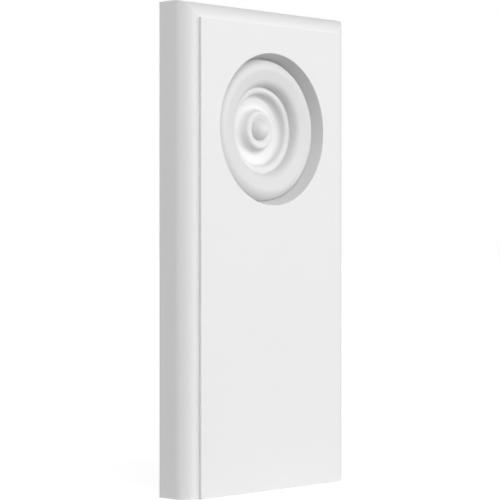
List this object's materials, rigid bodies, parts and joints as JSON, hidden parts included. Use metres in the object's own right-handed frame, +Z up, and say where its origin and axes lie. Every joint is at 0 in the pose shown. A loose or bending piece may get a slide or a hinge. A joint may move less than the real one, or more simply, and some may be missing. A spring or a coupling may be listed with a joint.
{
  "type": "plinth block",
  "caption": "Upright rectangular plinth block for the foot of a door casing, with a rounded and stepped border and a turned bullseye rosette sunk into its panel.",
  "frame": {"origin": "middle of the foot of the block, halfway along its width and its thickness", "axes": "+Z up the block, the show face looks along -Y, the flat back that goes against the wall looks along +Y, +X to the right seen from the front"},
  "size_m": [0.15, 0.026, 0.3048],
  "materials": {
    "plinth_block": "smooth primed white, low sheen"
  },
  "bodies": {
    "root": {"plinth_block": "plinth_block"}
  },
  "joints": []
}
